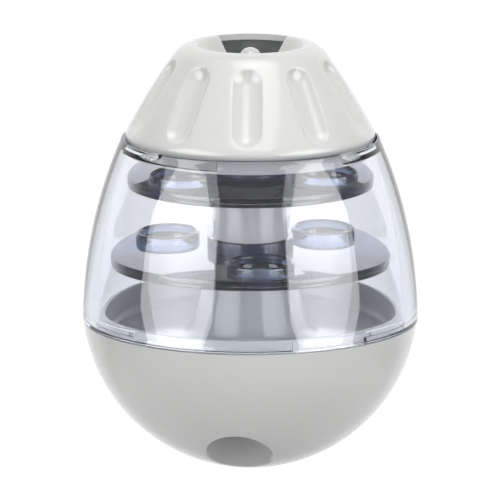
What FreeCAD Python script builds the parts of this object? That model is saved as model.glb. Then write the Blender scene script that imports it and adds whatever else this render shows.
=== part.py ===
# Wobble treat dispenser: an egg that rocks on a weighted ball base and drops
# dry treats from an outlet low at its front.
#
# Frame: millimetres, +Z up, the origin in the middle of the small flat that the
# egg rests on. +X is to the right and the outlet faces -Y.

import FreeCAD, Part
import math
import os
import re
import Sketcher

DOCUMENT = FreeCAD.newDocument("wobble_treat_dispenser")

# Two heights nearer than this count as one.
LEVEL = 0.01

# Driving sizes, in millimetres, degrees or counts, with what each one measures.
SIZES = [
    ("ball_radius", 65.3, "outside of the ball-shaped base"),
    ("rest_radius", 9.5, "flat under the base, which the egg rests on"),
    ("seam_drop", 7.2, "from the ball's middle down to the base's rim"),
    ("bowl_wall", 3.0, "wall of the base"),
    ("seat_depth", 2.5, "step inside the rim that the tray's flange fills"),
    ("seat_width", 2.1, "how far that step reaches inwards"),
    ("seat_height", 1.7, "straight part of the step below the flange"),
    ("seat_lead", 3.8, "slope from the step down to the base's round inside"),
    ("outlet_radius", 12.6, "bore that the treats leave by"),
    ("outlet_reach", 35.4, "from the middle of the egg to that bore"),
    ("outlet_turn", -96.5, "direction of the bore, counted from +X"),
    ("outlet_round", 0.9, "rounding of the bore's lower edge"),
    ("chute_wall", 2.2, "wall of the tube above the bore"),
    ("ballast_top", 20.0, "upper face of the cast weight"),
    ("ballast_gap", 0.3, "room round the weight"),
    ("boss_count", 3, "screw bosses in the base"),
    ("boss_reach", 23.0, "from the middle to each boss"),
    ("boss_turn", 90.0, "direction of the first boss"),
    ("boss_radius", 3.6, "outside of a boss"),
    ("boss_drop", 2.0, "how far a boss ends below the weight's face"),
    ("pilot_depth", 9.0, "blind hole in each boss"),
    ("screw_radius", 1.5, "shank of a ballast screw"),
    ("screw_grip", 8.0, "length of the shank in its boss"),
    ("screw_head_radius", 5.4, "flanged head of a ballast screw"),
    ("screw_head_height", 2.4, "height of that head"),
    ("screw_recess", 1.1, "radius of the driving recess"),
    ("tray_wall", 2.2, "wall of the floor tray"),
    ("tray_drop", 6.0, "from the base's rim down to the tray's floor"),
    ("tray_rim_land", 6.8, "upright part of the rim above its curve"),
    ("tray_rim_gap", 0.45, "room between the tray's rim and the shell"),
    ("tray_bend", 3.0, "inside radius from the tray's floor up to its rim"),
    ("cone_land", 2.3, "ring on the cone's top round the column"),
    ("cone_lean", 12.6, "lean of the cone's side"),
    ("cone_flare", 5.0, "radius of the flare between cone and floor"),
    ("lower_level", 32.3, "from the tray's floor up to the lower disc's top"),
    ("upper_level", 14.7, "from the shell's top down to the upper disc's top"),
    ("lower_disc_room", 2.6, "between the lower disc and the shell"),
    ("upper_disc_room", 3.2, "between the upper disc and the shell"),
    ("disc_plate", 3.9, "thickness of a disc"),
    ("disc_groove", 0.5, "groove round the middle of its edge"),
    ("hole_count", 3, "holes through a disc"),
    ("hole_radius", 10.8, "hole through a disc"),
    ("collar_wall", 2.0, "wall of the collar round a hole"),
    ("collar_height", 3.3, "how far a collar stands above the disc"),
    ("collar_round", 0.8, "rounding of a collar's edges"),
    ("lower_hole_margin", 7.6, "from the lower disc's holes to its edge"),
    ("upper_hole_margin", 6.0, "from the upper disc's holes to its edge"),
    ("lower_hole_turn", -84.0, "direction of the lower disc's first hole"),
    ("upper_hole_turn", -145.0, "direction of the upper disc's first hole"),
    ("hub_wall", 2.1, "wall of the collar round the column"),
    ("lower_hub_height", 4.9, "height of the lower disc's hub above it"),
    ("upper_hub_height", 5.0, "height of the upper disc's hub above it"),
    ("turn_gap", 0.3, "room between pieces that turn past each other"),
    ("fit_gap", 0.1, "room round a piece that is pushed into another"),
    ("column_radius", 14.3, "column between the discs"),
    ("column_wall", 2.2, "wall of the column"),
    ("column_step", 1.7, "shoulder that carries the upper disc"),
    ("plug_depth", 12.0, "how far the column plugs into the tray's cone"),
    ("socket_lip", 2.5, "thickness of the cone's top"),
    ("column_rise", 11.0, "from the upper disc to where the column narrows"),
    ("column_taper", 15.0, "height over which it narrows"),
    ("column_tip_radius", 4.5, "thin upper end of the column"),
    ("column_tip_drop", 1.5, "from the crest down to its rounded end"),
    ("shell_gap", 0.3, "open seam above and below the clear shell"),
    ("shell_overhang", 0.25, "how far the shell's foot stands out over the base"),
    ("shell_height", 71.0, "height of the clear shell"),
    ("shell_taper", 15.25, "how much its outside narrows upwards"),
    ("shell_bulge", 181.0, "radius of the outside, seen from the side"),
    ("shell_foot_wall", 6.0, "wall of the clear shell at its foot"),
    ("shell_inner_bulge", 257.0, "radius of the inside, seen from the side"),
    ("neck_wall", 2.3, "wall of the clear shell at its top"),
    ("neck_height", 6.6, "length of its upright neck"),
    ("neck_ledge", 1.9, "step from the neck out to the wall below it"),
    ("edge_round", 0.6, "small roundings on moulded edges"),
    ("lug_count", 3, "lugs of each twist lock"),
    ("lug_turn", -30.0, "direction of the first lug"),
    ("lug_angle", 24.0, "width of a lug"),
    ("twist_angle", 30.0, "turn that opens a twist lock"),
    ("lug_slack", 3.0, "extra width of the slots on each side"),
    ("lug_reach", 1.4, "how far a lug stands out"),
    ("lug_height", 1.4, "height of a lug"),
    ("cap_lug_lift", 2.5, "from the neck's lower end to the cap's lugs"),
    ("skirt_lift", 0.8, "from the neck's lower end to the cap's skirt"),
    ("skirt_gap", 0.4, "room between the skirt and the neck"),
    ("cap_wall", 2.2, "wall of the cap"),
    ("cap_edge_step", 1.6, "how far the cap's edge stands in from the shell's"),
    ("cap_band_height", 2.3, "upright band above that edge"),
    ("cap_band_draw", 0.3, "how much the band narrows"),
    ("cap_bulge", 240.0, "radius of the cap's side, seen from the side"),
    ("cap_height", 36.4, "from the cap's edge to its crest"),
    ("shoulder_round", 9.0, "rounding between the cap's side and its crest"),
    ("cap_slope", 35.0, "lean of the side where the rounding starts"),
    ("crest_radius", 22.0, "ring at the very top of the cap"),
    ("crest_round", 2.6, "rounding from the crest into the funnel"),
    ("crest_wall", 1.8, "from the crest down to the hollow below it"),
    ("funnel_slope", 50.0, "fall of the funnel, below level"),
    ("tip_gap", 0.5, "room round the column's tip in the funnel"),
    ("hub_ring", 2.2, "width of the ring in the funnel's middle"),
    ("window_count", 2, "filling windows through the funnel"),
    ("window_half_angle", 39.0, "half the width of a filling window"),
    ("window_turn", 86.8, "direction of the rear window"),
    ("window_land", 0.3, "from the crest to a filling window"),
    ("window_step", 1.0, "from the middle ring to a filling window"),
    ("dimple_count", 10, "finger dimples round the cap"),
    ("dimple_turn", -91.7, "direction of the front dimple"),
    ("dimple_foot", 2.1, "from the band up to a dimple"),
    ("dimple_head", 1.16, "from a dimple up to the rounded shoulder"),
    ("dimple_half_width", 5.5, "half the width of a dimple"),
    ("dimple_depth", 2.5, "depth of a dimple"),
    ("dimple_round", 1.0, "rounding of a dimple's edge"),
]

# Places that follow from the driving sizes.
WORKED = [
    ("ball_height", "sqrt(ball_radius ^ 2 - rest_radius ^ 2)"),
    ("seam_height", "ball_height - seam_drop"),
    ("seam_radius", "sqrt(ball_radius ^ 2 - seam_drop ^ 2)"),
    ("cavity_radius", "ball_radius - bowl_wall"),
    ("seat_floor", "seam_height - seat_depth"),
    ("seat_outer", "sqrt(cavity_radius ^ 2 - (ball_height - seat_floor) ^ 2)"),
    ("seat_inner", "seat_outer - seat_width"),
    ("seat_low", "seat_floor - seat_height"),
    ("cavity_join", "seat_low - seat_lead"),
    ("cavity_join_radius", "sqrt(cavity_radius ^ 2 - (ball_height - cavity_join) ^ 2)"),
    ("outlet_x", "outlet_reach * cos(outlet_turn * 1 deg)"),
    ("outlet_y", "outlet_reach * sin(outlet_turn * 1 deg)"),
    ("shell_foot", "seam_height + shell_gap"),
    ("shell_top_height", "shell_foot + shell_height"),
    ("shell_foot_radius", "seam_radius + shell_overhang"),
    ("shell_top_radius", "shell_foot_radius - shell_taper"),
    ("shell_inner_foot", "shell_foot_radius - shell_foot_wall"),
    ("neck_low", "shell_top_height - neck_height"),
    ("neck_radius", "shell_top_radius - neck_wall"),
    ("shell_inner_top", "neck_radius + neck_ledge"),
    ("inner_rise", "neck_low - neck_ledge - shell_foot"),
    ("inner_run", "shell_inner_foot - shell_inner_top"),
    ("inner_sag", "(inner_rise ^ 2 + inner_run ^ 2) / (2 * shell_inner_bulge)"),
    ("tray_floor", "seam_height - tray_drop"),
    ("tray_underside", "tray_floor - tray_wall"),
    ("tray_rim_radius", "shell_inner_foot - tray_rim_gap"),
    ("bend_radius", "tray_rim_radius - tray_wall - tray_bend"),
    ("bend_height", "tray_floor + tray_bend"),
    ("tray_rim_height", "bend_height + tray_rim_land + edge_round"),
    ("tray_rim_inner", "tray_rim_radius - tray_wall"),
    ("bend_outer", "tray_bend + tray_wall"),
    ("lower_disc_top", "tray_floor + lower_level"),
    ("upper_disc_top", "shell_top_height - upper_level"),
    ("lower_share", "(lower_disc_top - shell_foot) / inner_rise"),
    ("upper_share", "(upper_disc_top - shell_foot) / inner_rise"),
    ("lower_inside", "shell_inner_foot - inner_run * lower_share"
                     " + inner_sag * lower_share * (1 - lower_share)"),
    ("upper_inside", "shell_inner_foot - inner_run * upper_share"
                     " + inner_sag * upper_share * (1 - upper_share)"),
    ("lower_disc_radius", "lower_inside - lower_disc_room"),
    ("upper_disc_radius", "upper_inside - upper_disc_room"),
    ("lower_hole_reach", "lower_disc_radius - lower_hole_margin - hole_radius"),
    ("upper_hole_reach", "upper_disc_radius - upper_hole_margin - hole_radius"),
    ("lower_plate_low", "lower_disc_top - disc_plate"),
    ("upper_plate_low", "upper_disc_top - disc_plate"),
    ("cone_top_radius", "column_radius + cone_land"),
    ("cone_top", "lower_plate_low - turn_gap"),
    ("cone_foot_height", "tray_floor + cone_flare * (1 - sin(cone_lean * 1 deg))"),
    ("cone_foot_radius", "cone_top_radius + (cone_top - cone_foot_height) * tan(cone_lean * 1 deg)"),
    ("flare_radius", "cone_foot_radius + cone_flare * cos(cone_lean * 1 deg)"),
    ("socket_roof", "cone_top - socket_lip"),
    ("socket_roof_radius", "cone_top_radius + socket_lip * tan(cone_lean * 1 deg)"
                           " - tray_wall / cos(cone_lean * 1 deg)"),
    ("step_height", "upper_plate_low - turn_gap"),
    ("upper_column_radius", "column_radius - column_step"),
    ("plug_radius", "column_radius - column_wall"),
    ("plug_low", "cone_top - plug_depth"),
    ("column_bore", "plug_radius - column_wall"),
    ("column_shoulder_height", "upper_disc_top + column_rise"),
    ("column_neck_height", "column_shoulder_height + column_taper"),
    ("column_roof", "column_shoulder_height - column_wall"),
    ("base_lug_low", "tray_rim_height - edge_round - lug_height"),
    ("base_lug_radius", "tray_rim_radius + lug_reach"),
    ("base_slot_radius", "base_lug_radius + turn_gap"),
    ("cap_lug_height", "neck_low + cap_lug_lift"),
    ("skirt_height", "neck_low + skirt_lift"),
    ("skirt_radius", "neck_radius - skirt_gap"),
    ("skirt_inner", "skirt_radius - cap_wall"),
    ("cap_lug_radius", "skirt_radius + lug_reach"),
    ("cap_slot_radius", "cap_lug_radius + turn_gap"),
    ("cap_edge_height", "shell_top_height + shell_gap"),
    ("cap_edge_radius", "shell_top_radius - cap_edge_step"),
    ("band_top", "cap_edge_height + cap_band_height"),
    ("band_radius", "cap_edge_radius - cap_band_draw"),
    ("crest_height", "cap_edge_height + cap_height"),
    ("column_tip_height", "crest_height - column_tip_drop"),
    ("shoulder_radius", "crest_radius + shoulder_round * cos(cap_slope * 1 deg)"),
    ("shoulder_height", "crest_height - shoulder_round * (1 - sin(cap_slope * 1 deg))"),
    ("funnel_radius", "crest_radius - crest_round * sin(funnel_slope * 1 deg)"),
    ("funnel_height", "crest_height - crest_round * (1 - cos(funnel_slope * 1 deg))"),
    ("hub_bore", "column_tip_radius + tip_gap"),
    ("hub_radius", "hub_bore + hub_ring"),
    ("funnel_low", "funnel_height - (funnel_radius - hub_radius) * tan(funnel_slope * 1 deg)"),
    ("funnel_drop", "cap_wall / cos(funnel_slope * 1 deg)"),
    ("void_height", "crest_height - crest_wall"),
    ("funnel_void_radius", "hub_radius + (void_height - funnel_low + funnel_drop)"
                           " / tan(funnel_slope * 1 deg)"),
    ("side_run", "band_radius - shoulder_radius"),
    ("side_rise", "shoulder_height - band_top"),
    ("side_lean", "atan(side_run / side_rise) / 1 deg"),
    ("side_shift", "cap_wall / cos(side_lean * 1 deg)"),
    ("void_side_low", "band_radius - side_shift"),
    ("void_side_high", "void_side_low - (void_height - band_top) * side_run / side_rise"),
    ("skirt_join", "band_top + (void_side_low - skirt_inner) * side_rise / side_run"),
    ("window_inner", "hub_radius + window_step"),
    ("window_reach", "crest_radius - window_land"),
    ("dimple_low", "band_top + dimple_foot"),
    ("dimple_high", "shoulder_height - dimple_head"),
    ("dimple_low_radius", "band_radius - (dimple_low - band_top) * side_run / side_rise"),
    ("dimple_high_radius", "band_radius - (dimple_high - band_top) * side_run / side_rise"),
    ("dimple_tool", "(dimple_half_width ^ 2 + dimple_depth ^ 2) / (2 * dimple_depth)"),
    ("dimple_lift", "dimple_tool - dimple_depth"),
    ("along_x", "-sin(side_lean * 1 deg)"),
    ("along_z", "cos(side_lean * 1 deg)"),
    ("dimple_foot_x", "dimple_low_radius + dimple_half_width * along_x + dimple_lift * along_z"),
    ("dimple_foot_z", "dimple_low + dimple_half_width * along_z - dimple_lift * along_x"),
    ("dimple_head_x", "dimple_high_radius - dimple_half_width * along_x + dimple_lift * along_z"),
    ("dimple_head_z", "dimple_high - dimple_half_width * along_z - dimple_lift * along_x"),
]


SHEET_OF = {name: "sizes" for name, value, meaning in SIZES}
SHEET_OF.update({name: "places" for name, formula in WORKED})


def reference(text):
    """The expression with each size's name led by the sheet that holds it."""
    return re.sub(
        r"[a-z]\w*",
        lambda word: "%s.%s" % (SHEET_OF[word[0]], word[0]) if word[0] in SHEET_OF else word[0],
        text,
    )


def make_sheets():
    """The sheet of driving sizes and the sheet of places worked out from them."""
    sizes = DOCUMENT.addObject("Spreadsheet::Sheet", "sizes")
    for row, (name, value, meaning) in enumerate(SIZES, start=1):
        sizes.set("A%d" % row, name)
        sizes.set("B%d" % row, str(value))
        sizes.set("C%d" % row, meaning)
        sizes.setAlias("B%d" % row, name)
    DOCUMENT.recompute()
    places = DOCUMENT.addObject("Spreadsheet::Sheet", "places")
    for row, (name, formula) in enumerate(WORKED, start=1):
        places.set("A%d" % row, name)
        places.set("B%d" % row, "=" + reference(formula))
        places.setAlias("B%d" % row, name)
    DOCUMENT.recompute()
    return sizes


SHEET = make_sheets()


def value(text):
    """The number that an expression of sizes gives now."""
    return float(SHEET.evalExpression(reference(text)))


def drive(item, prop, text):
    """Bind one property of a feature to an expression of sizes."""
    item.setExpression(prop, reference(text))


def origin_part(body, role):
    """A plane or an axis of a body's own origin."""
    return next(part for part in body.Origin.OriginFeatures if part.Role == role)


def new_body(name):
    """An empty body that holds one piece."""
    body = DOCUMENT.addObject("PartDesign::Body", name)
    body.Label = name
    return body


def new_sketch(body, name, role, turn=None, lift=None):
    """A sketch on a plane of the body's origin, turned about +Z or lifted along it."""
    sketch = body.newObject("Sketcher::SketchObject", name)
    sketch.AttachmentSupport = (origin_part(body, role), [""])
    sketch.MapMode = "FlatFace"
    if turn is not None:
        sketch.AttachmentOffset = FreeCAD.Placement(
            FreeCAD.Vector(), FreeCAD.Rotation(FreeCAD.Vector(0, 1, 0), value(turn))
        )
        drive(sketch, ".AttachmentOffset.Rotation.Angle", turn)
    if lift is not None:
        drive(sketch, ".AttachmentOffset.Base.z", lift)
    return sketch


def pin_point(sketch, index, end, corner):
    """Hold one end of an edge at a corner whose two places are expressions."""
    for kind, prop, text in (("DistanceX", "x", corner[0]), ("DistanceY", "y", corner[1])):
        name = "%s%d" % (prop, index)
        sketch.addConstraint(Sketcher.Constraint(kind, -1, 1, index, end, value(text)))
        sketch.renameConstraint(sketch.ConstraintCount - 1, name)
        drive(sketch, "Constraints." + name, text)


def closed_outline(sketch, corners, arcs=None):
    """A closed outline through corners, with straight sides except where arcs names one.

    arcs maps a side's number to (radius, side of travel that its middle lies on),
    with +1 for the left and -1 for the right.
    """
    arcs = arcs or {}
    spots = [FreeCAD.Vector(value(x), value(y), 0) for x, y in corners]
    ends = []
    for index, start in enumerate(spots):
        stop = spots[(index + 1) % len(spots)]
        if index not in arcs:
            sketch.addGeometry(Part.LineSegment(start, stop))
            ends.append((1, 2))
            continue
        radius_text, hand = arcs[index]
        radius = value(radius_text)
        run = stop - start
        left = FreeCAD.Vector(-run.y, run.x, 0).normalize()
        reach = math.sqrt(max(radius ** 2 - (run.Length / 2) ** 2, 0))
        middle = (start + stop) * 0.5 + left * (hand * reach)
        first, last = (start, stop) if hand > 0 else (stop, start)
        angles = [math.atan2(spot.y - middle.y, spot.x - middle.x) for spot in (first, last)]
        if angles[1] < angles[0]:
            angles[1] += 2 * math.pi
        circle = Part.Circle(middle, FreeCAD.Vector(0, 0, 1), radius)
        sketch.addGeometry(Part.ArcOfCircle(circle, *angles))
        ends.append((1, 2) if hand > 0 else (2, 1))
        sketch.addConstraint(Sketcher.Constraint("Radius", index, radius))
        sketch.renameConstraint(sketch.ConstraintCount - 1, "radius%d" % index)
        drive(sketch, "Constraints.radius%d" % index, radius_text)
    for index, corner in enumerate(corners):
        before = (index - 1) % len(corners)
        sketch.addConstraint(
            Sketcher.Constraint("Coincident", before, ends[before][1], index, ends[index][0])
        )
        pin_point(sketch, index, ends[index][0], corner)


def circles(sketch, spots):
    """Circles in a sketch, each given as (x, y, radius)."""
    for index, (x, y, radius) in enumerate(spots):
        middle = FreeCAD.Vector(value(x), value(y), 0)
        sketch.addGeometry(Part.Circle(middle, FreeCAD.Vector(0, 0, 1), value(radius)))
        sketch.addConstraint(Sketcher.Constraint("Radius", index, value(radius)))
        sketch.renameConstraint(sketch.ConstraintCount - 1, "radius%d" % index)
        drive(sketch, "Constraints.radius%d" % index, radius)
        pin_point(sketch, index, 3, (x, y))


def spin(body, kind, name, sketch, angle=360):
    """Turn a sketch about its upright axis, to add it or, as a Groove, to cut it."""
    feature = body.newObject("PartDesign::" + kind, name)
    feature.Profile = sketch
    feature.ReferenceAxis = (sketch, ["V_Axis"])
    feature.Angle = angle
    return feature


def lathe(body, name, corners, arcs=None, kind="Revolution"):
    """A ring or disc turned from an outline of (radius, height) corners."""
    sketch = new_sketch(body, name + "_outline", "XZ_Plane")
    closed_outline(sketch, corners, arcs)
    return spin(body, kind, name, sketch)


def extrude(body, kind, name, sketch, length):
    """Push a sketch on the level plane upwards, to add it or, as a Pocket, to cut it."""
    feature = body.newObject("PartDesign::" + kind, name)
    feature.Profile = sketch
    feature.Reversed = kind == "Pocket"
    drive(feature, "Length", length)
    return feature


def ring_of(body, name, features, count):
    """Repeat features at even steps round the upright axis."""
    pattern = body.newObject("PartDesign::PolarPattern", name)
    pattern.Originals = features
    pattern.Axis = (origin_part(body, "Z_Axis"), [""])
    pattern.Angle = 360
    drive(pattern, "Occurrences", count)
    body.Tip = pattern
    return pattern


def cut_by(body, name, tool):
    """Take a second body's shape out of a body."""
    cut = body.newObject("PartDesign::Boolean", name)
    cut.setObjects([tool])
    cut.Type = "Cut"
    body.Tip = cut
    return cut


def sector(sketch, inner, outer, middle_turn, half_angle):
    """A piece of a ring in a level sketch, between two radii and two directions."""
    low = "(%s - %s) * 1 deg" % (middle_turn, half_angle)
    high = "(%s + %s) * 1 deg" % (middle_turn, half_angle)
    corners = [
        ("(%s) * cos(%s)" % (radius, angle), "(%s) * sin(%s)" % (radius, angle))
        for radius, angle in ((inner, low), (outer, low), (outer, high), (inner, high))
    ]
    closed_outline(sketch, corners, {1: (outer, 1), 3: (inner, -1)})


def round_edges(body, name, radius, wanted):
    """Round the edges of a body that a test picks out."""
    DOCUMENT.recompute()
    base = body.Tip
    edges = [
        "Edge%d" % number for number, edge in enumerate(base.Shape.Edges, start=1) if wanted(edge)
    ]
    fillet = body.newObject("PartDesign::Fillet", name)
    fillet.Base = (base, edges)
    drive(fillet, "Radius", radius)
    body.Tip = fillet
    return fillet


def level_at(text):
    """A test for level edges at a height."""
    height = value(text)
    return lambda edge: (
        abs(edge.BoundBox.ZMin - height) < LEVEL and abs(edge.BoundBox.ZMax - height) < LEVEL
    )


def on_outlet_rim(edge):
    """A test for the edge where the outlet's bore meets the outside of the ball."""
    middle = edge.valueAt((edge.FirstParameter + edge.LastParameter) / 2)
    reach = math.hypot(middle.x - value("outlet_x"), middle.y - value("outlet_y"))
    on_bore = abs(reach - value("outlet_radius")) < LEVEL
    return on_bore and 0 < middle.z < value("ball_height / 2") and len(edge.Vertexes) == 1


def base_bowl():
    """Ball-shaped base: a hollow moulding with the outlet tube and the screw bosses."""
    core = new_body("bowl_core")
    lathe(
        core,
        "core_hollow",
        [
            ("0", "ball_height - cavity_radius"),
            ("0", "seam_height"),
            ("seat_outer", "seam_height"),
            ("seat_outer", "seat_floor"),
            ("seat_inner", "seat_floor"),
            ("seat_inner", "seat_low"),
            ("cavity_join_radius", "cavity_join"),
        ],
        {6: ("cavity_radius", -1)},
    )
    tube = new_sketch(core, "core_tube_outline", "XY_Plane")
    circles(tube, [("outlet_x", "outlet_y", "outlet_radius + chute_wall")])
    extrude(core, "Pocket", "core_tube", tube, "tray_underside")
    boss = new_sketch(core, "core_boss_outline", "XY_Plane")
    circles(
        boss,
        [("boss_reach * cos(boss_turn * 1 deg)", "boss_reach * sin(boss_turn * 1 deg)", "boss_radius")],
    )
    boss_cut = extrude(core, "Pocket", "core_boss", boss, "ballast_top - boss_drop")
    ring_of(core, "core_bosses", [boss_cut], "boss_count")

    body = new_body("base_bowl")
    lathe(
        body,
        "ball",
        [("0", "0"), ("rest_radius", "0"), ("seam_radius", "seam_height"), ("0", "seam_height")],
        {1: ("ball_radius", 1)},
    )
    cut_by(body, "hollow", core)
    bore = new_sketch(body, "outlet_outline", "XY_Plane")
    circles(bore, [("outlet_x", "outlet_y", "outlet_radius")])
    extrude(body, "Pocket", "outlet", bore, "seam_height")
    round_edges(body, "outlet_edge", "outlet_round", on_outlet_rim)
    pilot = new_sketch(body, "pilot_outline", "XY_Plane", lift="ballast_top - boss_drop - pilot_depth")
    circles(
        pilot,
        [("boss_reach * cos(boss_turn * 1 deg)", "boss_reach * sin(boss_turn * 1 deg)", "screw_radius")],
    )
    pilot_cut = extrude(body, "Pocket", "pilot", pilot, "pilot_depth")
    ring_of(body, "pilots", [pilot_cut], "boss_count")
    return body


def ballast_weight():
    """Cast weight that fits the ball's inside, with a bay for the outlet tube."""
    body = new_body("ballast_weight")
    lathe(
        body,
        "casting",
        [
            ("0", "ball_height - cavity_radius + ballast_gap"),
            ("sqrt((cavity_radius - ballast_gap) ^ 2 - (ball_height - ballast_top) ^ 2)", "ballast_top"),
            ("0", "ballast_top"),
        ],
        {0: ("cavity_radius - ballast_gap", 1)},
    )
    bay = new_sketch(body, "bay_outline", "XY_Plane")
    circles(bay, [("outlet_x", "outlet_y", "outlet_radius + chute_wall + ballast_gap")])
    extrude(body, "Pocket", "bay", bay, "ballast_top")
    hole = new_sketch(body, "hole_outline", "XY_Plane")
    circles(
        hole,
        [
            (
                "boss_reach * cos(boss_turn * 1 deg)",
                "boss_reach * sin(boss_turn * 1 deg)",
                "boss_radius + ballast_gap",
            )
        ],
    )
    hole_cut = extrude(body, "Pocket", "hole", hole, "ballast_top")
    ring_of(body, "holes", [hole_cut], "boss_count")
    return body


def ballast_screws():
    """Flanged screws that hold the weight down, one in each boss."""
    body = new_body("ballast_screws")
    body.AllowCompound = True
    sketch = new_sketch(body, "screw_shank", "XY_Plane", lift="ballast_top - boss_drop - screw_grip")
    spot = ("boss_reach * cos(boss_turn * 1 deg)", "boss_reach * sin(boss_turn * 1 deg)")
    circles(sketch, [spot + ("screw_radius",)])
    shank = extrude(body, "Pad", "shank", sketch, "screw_grip + boss_drop + screw_head_height / 2")
    sketch = new_sketch(body, "screw_head", "XY_Plane", lift="ballast_top")
    circles(sketch, [spot + ("screw_head_radius",)])
    head = extrude(body, "Pad", "head", sketch, "screw_head_height")
    sketch = new_sketch(body, "screw_drive", "XY_Plane", lift="ballast_top + screw_head_height / 2")
    circles(sketch, [spot + ("screw_recess",)])
    recess = extrude(body, "Pocket", "recess", sketch, "screw_head_height")
    ring_of(body, "screws", [shank, head, recess], "boss_count")
    return body


def lugs(body, name, inner, outer, low):
    """Lugs of a twist lock round a rim."""
    sketch = new_sketch(body, name + "_outline", "XY_Plane", lift=low)
    sector(sketch, inner, outer, "lug_turn", "lug_angle / 2")
    lug = extrude(body, "Pad", name, sketch, "lug_height")
    return ring_of(body, name + "s", [lug], "lug_count")


def lug_slots(body, name, inner, outer, low, hand, mouth):
    """Slots that the lugs slide in, each with a mouth where its lug goes in.

    hand is + where the lugs turn to open, - where the slotted piece does;
    mouth is the height of the edge that the mouth runs out to.
    """
    floor = "%s - turn_gap" % low
    roof = "%s + lug_height + turn_gap" % low
    track = new_sketch(body, name + "_track", "XY_Plane", lift=floor)
    half = "(twist_angle + lug_angle) / 2 + lug_slack"
    sector(track, inner, outer, "(lug_turn %s twist_angle / 2)" % hand, "(%s)" % half)
    run = extrude(body, "Pocket", name, track, "lug_height + 2 * turn_gap")
    opens_down = value(mouth) < value(low)
    start, end = (mouth, roof) if opens_down else (floor, mouth)
    gate = new_sketch(body, name + "_mouth", "XY_Plane", lift=start)
    sector(gate, inner, outer, "(lug_turn %s twist_angle)" % hand, "(lug_angle / 2 + lug_slack)")
    way = extrude(body, "Pocket", name + "_way", gate, "%s - (%s)" % (end, start))
    return ring_of(body, name + "s", [run, way], "lug_count")


def floor_tray():
    """Dished floor with a rim that locks the shell and a cone that carries the column."""
    body = new_body("floor_tray")
    lathe(
        body,
        "dish",
        [
            ("plug_radius + fit_gap", "cone_top"),
            ("plug_radius + fit_gap", "socket_roof"),
            ("socket_roof_radius", "socket_roof"),
            (
                "cone_foot_radius - tray_wall * cos(cone_lean * 1 deg)",
                "cone_foot_height - tray_wall * sin(cone_lean * 1 deg)",
            ),
            ("flare_radius", "tray_underside"),
            ("bend_radius", "tray_underside"),
            ("bend_radius + sqrt(bend_outer ^ 2 - (bend_height - seat_floor) ^ 2)", "seat_floor"),
            ("seat_outer - fit_gap", "seat_floor"),
            ("seat_outer - fit_gap", "seam_height"),
            ("tray_rim_radius", "seam_height"),
            ("tray_rim_radius", "tray_rim_height - edge_round"),
            ("tray_rim_radius - edge_round", "tray_rim_height"),
            ("tray_rim_inner + edge_round", "tray_rim_height"),
            ("tray_rim_inner", "tray_rim_height - edge_round"),
            ("tray_rim_inner", "bend_height"),
            ("bend_radius", "tray_floor"),
            ("flare_radius", "tray_floor"),
            ("cone_foot_radius", "cone_foot_height"),
            ("cone_top_radius", "cone_top"),
        ],
        {
            3: ("cone_flare + tray_wall", 1),
            5: ("bend_outer", 1),
            10: ("edge_round", 1),
            12: ("edge_round", 1),
            14: ("tray_bend", -1),
            16: ("cone_flare", -1),
        },
    )
    mouth = new_sketch(body, "floor_hole_outline", "XY_Plane")
    circles(mouth, [("outlet_x", "outlet_y", "outlet_radius")])
    extrude(body, "Pocket", "floor_hole", mouth, "cone_top")
    lugs(body, "rim_lug", "tray_rim_inner + tray_wall / 2", "base_lug_radius", "base_lug_low")
    return body


def column():
    """Hollow post with a shoulder for the upper disc and a thin rounded tip."""
    body = new_body("column")
    lathe(
        body,
        "post",
        [
            ("column_bore", "plug_low"),
            ("plug_radius", "plug_low"),
            ("plug_radius", "cone_top"),
            ("column_radius", "cone_top"),
            ("column_radius", "step_height"),
            ("upper_column_radius", "step_height"),
            ("upper_column_radius", "column_shoulder_height"),
            ("column_tip_radius", "column_neck_height"),
            ("column_tip_radius", "column_tip_height - column_tip_radius"),
            ("0", "column_tip_height"),
            ("0", "column_roof"),
            ("column_bore", "column_roof"),
        ],
        {8: ("column_tip_radius", 1)},
    )
    return body


def disc(name, radius, bore, hub, top, reach, turn):
    """Clear smoke-coloured disc with a grooved edge, a hub and collared holes."""
    body = new_body(name)
    low = "(%s - disc_plate)" % top
    middle = "(%s - disc_plate / 2)" % top
    hub_outer = "(%s + hub_wall)" % bore
    crown = "(%s + %s)" % (top, hub)
    lathe(
        body,
        "plate",
        [
            (bore, low),
            (radius, low),
            (radius, "%s - disc_groove" % middle),
            ("%s - disc_groove" % radius, middle),
            (radius, "%s + disc_groove" % middle),
            (radius, top),
            (hub_outer, top),
            (hub_outer, "%s - edge_round" % crown),
            ("%s - edge_round" % hub_outer, crown),
            ("%s + edge_round" % bore, crown),
            (bore, "%s - edge_round" % crown),
        ],
        {7: ("edge_round", 1), 9: ("edge_round", 1)},
    )
    spot = ("%s * cos(%s * 1 deg)" % (reach, turn), "%s * sin(%s * 1 deg)" % (reach, turn))
    collar = new_sketch(body, "collar_outline", "XY_Plane", lift=low)
    circles(collar, [spot + ("hole_radius + collar_wall",)])
    ring = extrude(body, "Pad", "collar", collar, "disc_plate + collar_height")
    hole = new_sketch(body, "hole_outline", "XY_Plane", lift=low)
    circles(hole, [spot + ("hole_radius",)])
    cut = extrude(body, "Pocket", "hole", hole, "disc_plate + collar_height")
    ring_of(body, "holes", [ring, cut], "hole_count")
    round_edges(body, "collar_bead", "collar_round", level_at("%s + collar_height" % top))
    return body


def lower_disc():
    """Disc that rests on the tray's cone."""
    bore = "(column_radius + turn_gap)"
    return disc(
        "lower_disc",
        "lower_disc_radius",
        bore,
        "lower_hub_height",
        "lower_disc_top",
        "lower_hole_reach",
        "lower_hole_turn",
    )


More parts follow.
